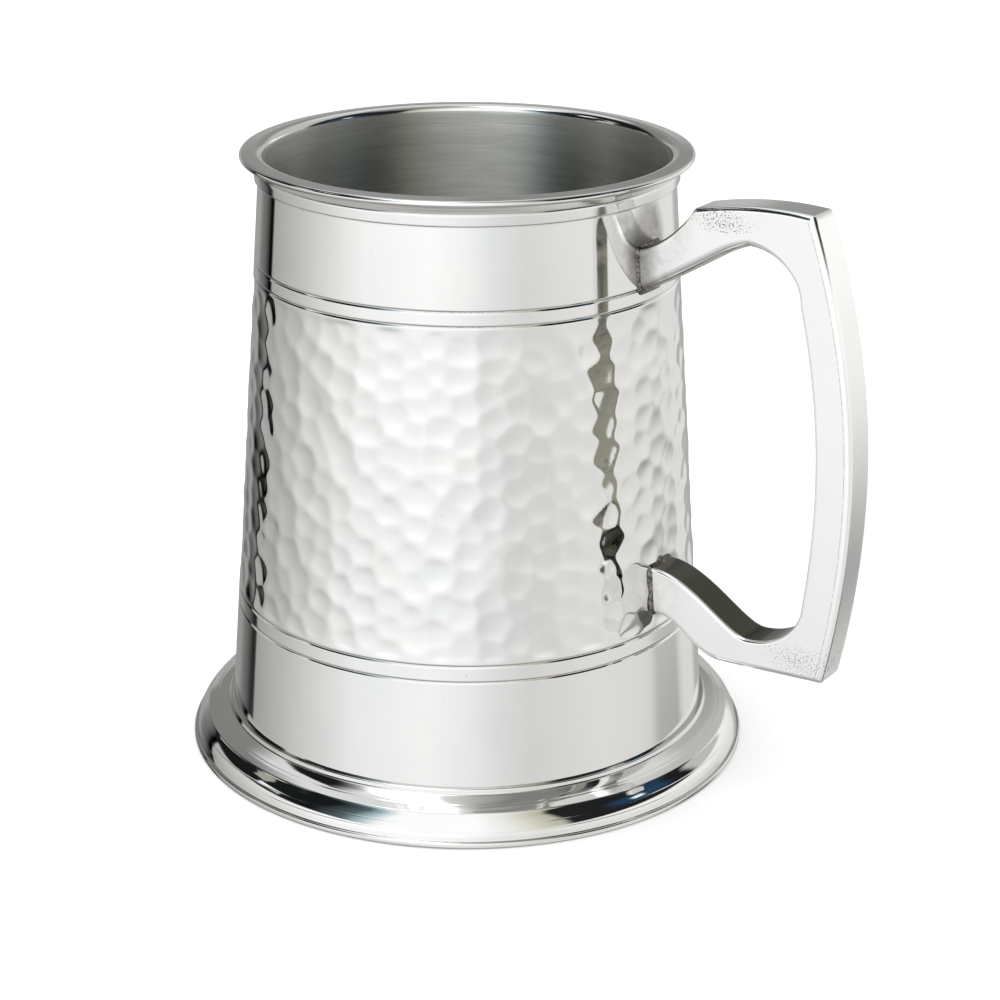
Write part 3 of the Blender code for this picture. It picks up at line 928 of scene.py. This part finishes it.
# The pale floor and the camera.
stage = {"floorSize": 3.0, "floorColour": (0.93, 0.93, 0.925), "floorDrop": 0.00005,
         "cameraTurn": 34.5, "cameraDown": 20.72, "cameraOut": 0.4594, "cameraHeight": 0.2218,
         "lens": 88.74, "sensor": 36, "shift": 0.0328, "nearest": 0.01, "furthest": 50}


def makeStage():
    bm = bmesh.new()
    bmesh.ops.create_grid(bm, x_segments=2, y_segments=2, size=stage["floorSize"])
    mesh = bpy.data.meshes.new("pale_floor")
    bm.to_mesh(mesh)
    bm.free()
    ground = bpy.data.objects.new("pale_floor", mesh)
    bpy.context.scene.collection.objects.link(ground)
    ground.location.z = -stage["floorDrop"]
    ground.visible_glossy = False
    material, start = newMaterial("paleFloor")
    shader = start.node("BsdfDiffuse", None, {"Color": (*stage["floorColour"], 1)})
    start.node("OutputMaterial", None, {"Surface": shader})
    mesh.materials.append(material)


cool, warm, green = (0.985, 1.0, 1.01), (1.0, 1.0, 0.985), (0.97, 1.0, 0.97)
teal, olive = (0.75, 1.0, 1.1), (1.0, 1.0, 0.82)
light = {
    "backdrop": 0.97, "floorLift": 1.5, "strength": 2.0, "straightDown": (0.19, 0.19, 0.185),
    # brightness all round, from behind on the left, past the camera, to behind on the right:
    # first the darker stretch low down, which stands a little higher on the handle's side
    "under": ((-180, 0.3, green), (-145, 0.15, green), (-134, 0.02, green), (-127, 0.28, warm),
              (-101, 0.38, warm), (-76, 0.5, warm), (-56, 0.62, cool), (-20, 0.74, cool),
              (0, 0.86, cool), (30, 0.74, warm), (66, 0.82, warm), (92, 0.6, warm),
              (104, 0.1, warm), (124, 0.1, warm), (132, 0.6, warm), (180, 0.3, green)),
    # then the walls at the horizon
    "walls": ((-180, 0.34, green), (-152, 0.38, green), (-145, 0.22, green), (-138, 0.15, green),
              (-133, 0.05, green), (-131.5, 0.0, green), (-128, 0.0, green), (-126.8, 0.42, warm),
              (-101, 0.6, warm), (-76, 0.83, warm), (-56, 1.04, cool), (-20, 1.12, cool),
              (0, 1.02, cool), (14, 0.88, cool), (30, 0.78, warm), (66, 0.87, warm),
              (90, 0.86, warm), (146, 0.84, warm), (153, 0.5, green), (180, 0.4, green)),
    # the window and the dark curtains that stand above them
    "window": ((-180, 0.36, green), (-165, 0.27, green), (-138, 0.25, green), (-132, 0.012, cool),
               (-66, 0.012, teal), (-52, 0.14, teal), (-44, 0.65, teal), (-36, 1.2, cool),
               (4, 1.22, cool), (18, 1.0, warm), (32, 0.7, olive), (40, 0.55, olive),
               (43, 0.02, cool), (106, 0.014, cool), (110, 0.6, warm), (152, 0.58, warm),
               (165, 0.30, green), (180, 0.30, green)),
    # and the ceiling, which comes lower down at the back than at the front
    "ceiling": ((-180, 0.8, cool), (-135, 0.85, cool), (-110, 1.0, cool), (-84, 1.2, cool),
                (-72, 2.8, cool), (-34, 2.8, cool), (-20, 1.0, warm), (10, 0.6, warm),
                (40, 0.3, warm), (115, 0.3, warm), (140, 0.8, warm), (180, 0.8, cool)),
    # the heights, in degrees, over which one ring of light gives way to the next
    "downEdge": (-54, -44), "underEdge": (-42, -14), "wallLift": (-16, 8, 0.22),
    "windowEdge": (9, 12), "ceilingEdge": (56, 64), "backEdge": (128, 146), "backDrop": 20,
    "handleSide": (96, 108, 122, 134), "handleSideRise": 6,  # where the dark stretch rises
    # each lamp's left, right, low and high edges in degrees, how soft they are, and its colour
    "lamps": ((-104, -97, 26, 36, 1.5, (0.42, 0.43, 0.37)), (-97, -84, 41, 46, 1.5, (1.1, 1.1, 1.1)),
              (-96, -84, 17, 22, 1.5, (1.1, 1.1, 1.1)), (70, 92, 27, 33, 9, (0.02, 0.06, 0.12)),
              (78, 81, 29.5, 31, 3, (1.1, 1.2, 1.3))),
}


# A soft tent of light: rings of brightness stacked from straight below to straight above.
def makeLight():
    world = bpy.data.worlds.new("softTent")
    bpy.context.scene.world = world
    world.use_nodes = True
    world.node_tree.nodes.clear()
    start = Signal(world.node_tree)
    x, y, z = start.node("TexCoord", None, None, "Generated").parts()
    turn = radians(stage["cameraTurn"])
    toCamera = x * sin(turn) - y * cos(turn)
    toRight = x * cos(turn) + y * sin(turn)
    around = start.sum("ARCTAN2", toRight, toCamera) / (2 * pi) + 0.5
    level = start.sum("ARCSINE", z) / pi + 0.5
    degrees = (around - 0.5) * 360
    rise = (level - 0.5) * 180
    strength = light["strength"]

    def rampOf(bands):
        stops = []
        for angle, value, tint in bands:
            stops.append(((angle + 180) / 360, tuple(value / strength * part for part in tint)))
        return start.node("ValToRGB", {"stops": stops}, {0: around})

    def flat(colour):
        return (*[part / strength for part in colour], 1)

    left, leftIn, rightIn, right = light["handleSide"]
    handleSide = degrees.between(left, leftIn) * (1 - degrees.between(rightIn, right))
    horizon = (rise - handleSide * light["handleSideRise"]).between(*light["underEdge"])
    below = rise.between(*light["downEdge"]).blend((*light["straightDown"], 1),
                                                   rampOf(light["under"]))
    colour = horizon.blend(below, rampOf(light["walls"]))
    low, high, lift = light["wallLift"]
    lifted = start.node("VectorMath", {"operation": "SCALE"},
                        {0: colour, "Scale": 1 + rise.between(low, high) * lift})
    colour = rise.between(*light["windowEdge"]).blend(lifted, rampOf(light["window"]))
    behind = abs(degrees).between(*light["backEdge"])
    ceiling = (rise + behind * light["backDrop"]).between(*light["ceilingEdge"])
    colour = ceiling.blend(colour, rampOf(light["ceiling"]))
    # the lamps show as small bright shapes in the foot's bead
    for left, right, low, high, soft, shine in light["lamps"]:
        inside = degrees.between(left - soft, left) * (1 - degrees.between(right, right + soft))
        inside = inside * rise.between(low - soft, low) * (1 - rise.between(high, high + soft))
        colour = inside.blend(colour, flat(shine))
    seen = start.node("LightPath", None, None, "Is Camera Ray")
    seen = seen.blend(colour, flat([light["backdrop"]] * 3))
    onFloor = start.node("LightPath", None, None, "Is Diffuse Ray")
    seen = onFloor.blend(seen, flat([light["floorLift"]] * 3))
    shader = start.node("Background", None, {"Color": seen, "Strength": strength})
    start.node("OutputWorld", None, {"Surface": shader})


def makeCamera():
    camera = bpy.data.cameras.new("camera")
    camera.lens = stage["lens"]
    camera.sensor_width = stage["sensor"]
    camera.shift_x = stage["shift"]
    camera.clip_start, camera.clip_end = stage["nearest"], stage["furthest"]
    eye = bpy.data.objects.new("camera", camera)
    turn = radians(stage["cameraTurn"])
    eye.location = (axisX + stage["cameraOut"] * sin(turn), -stage["cameraOut"] * cos(turn),
                    stage["cameraHeight"])
    eye.rotation_euler = (radians(90 - stage["cameraDown"]), 0, turn)
    bpy.context.scene.collection.objects.link(eye)
    bpy.context.scene.camera = eye


makeStage()
makeLight()
makeCamera()
bpy.context.scene.view_settings.view_transform = "Standard"
print("stage set")
